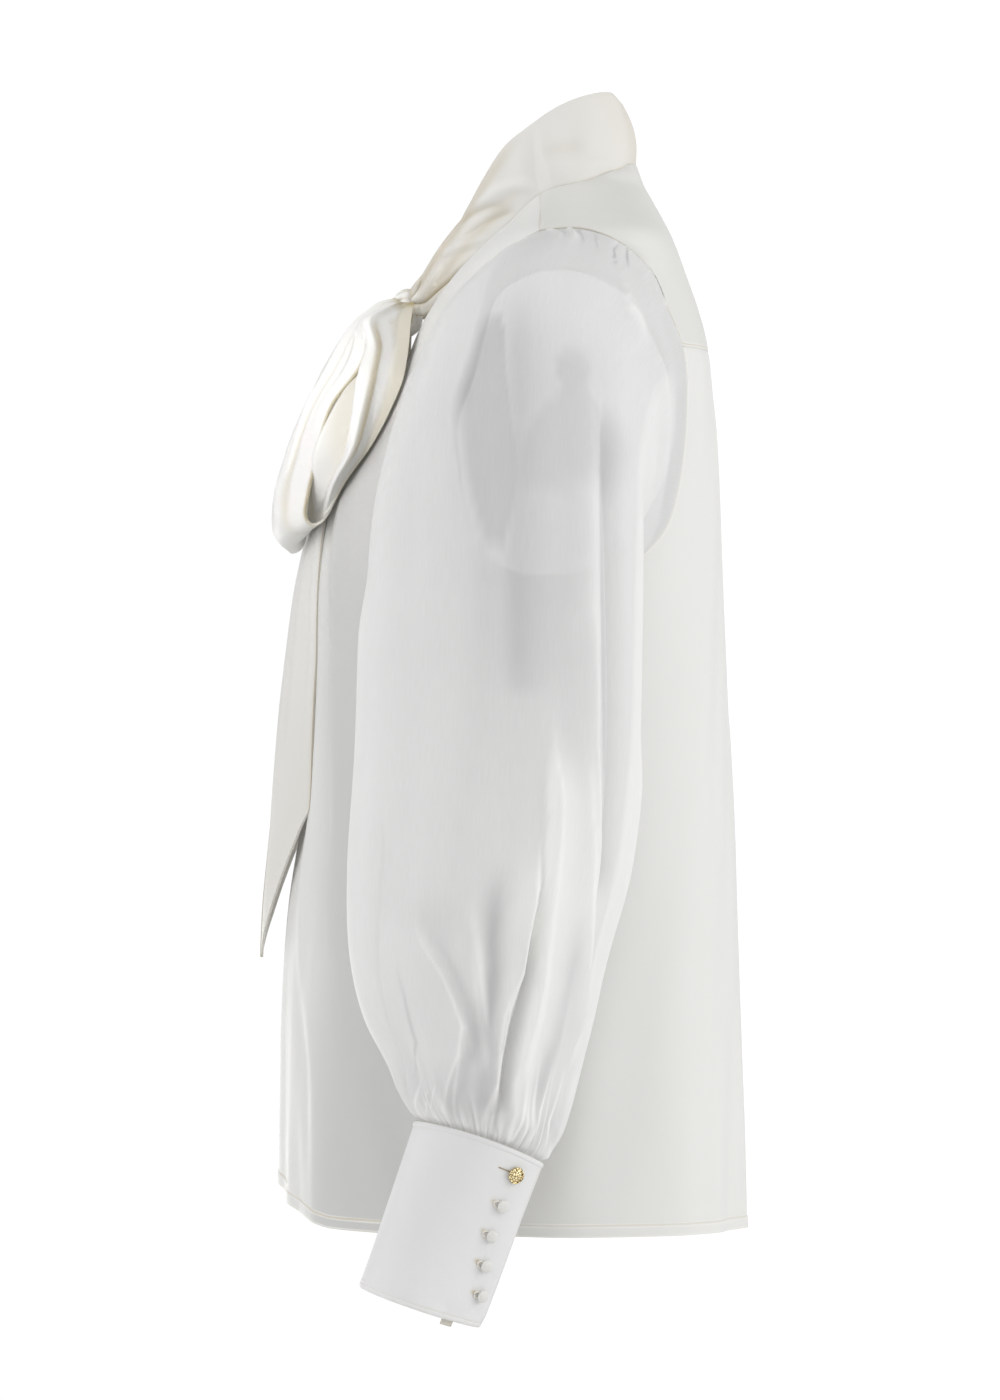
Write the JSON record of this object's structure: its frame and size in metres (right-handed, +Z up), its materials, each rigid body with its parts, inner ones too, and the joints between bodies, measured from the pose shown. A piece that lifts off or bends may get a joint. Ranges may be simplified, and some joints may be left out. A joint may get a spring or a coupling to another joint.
{
  "type": "blouse",
  "caption": "Long-sleeved tie-neck blouse with a soft bow, shoulder yoke, sheer full sleeves gathered into deep buttoned cuffs, held as it is worn.",
  "frame": {"origin": "on the centre line, level with the neck ends of the shoulder seams, where the blouse rests on the wearer's shoulders", "axes": "+X towards the wearer's left, +Y to the back, +Z up"},
  "size_m": [0.6194, 0.2942, 0.722],
  "materials": {
    "silk": "ivory silk with a soft satin sheen",
    "sheer_silk": "sheer white silk, crisp and see-through",
    "gold_metal": "polished gold-coloured metal"
  },
  "bodies": {
    "root": {"yoke": "silk", "back": "silk", "collar": "silk", "bow_knot": "silk", "front_left": "silk", "cuff_left": "silk", "bow_loop_left": "silk", "bow_tail_left": "silk", "sleeve_left": "sheer_silk", "gold_button_left": "gold_metal", "cuff_tab_left": "silk", "covered_button_1_left": "silk", "covered_button_2_left": "silk", "covered_button_3_left": "silk", "covered_button_4_left": "silk", "front_right": "silk", "cuff_right": "silk", "bow_loop_right": "silk", "bow_tail_right": "silk", "sleeve_right": "sheer_silk", "gold_button_right": "gold_metal", "cuff_tab_right": "silk", "covered_button_1_right": "silk", "covered_button_2_right": "silk", "covered_button_3_right": "silk", "covered_button_4_right": "silk"}
  },
  "joints": []
}
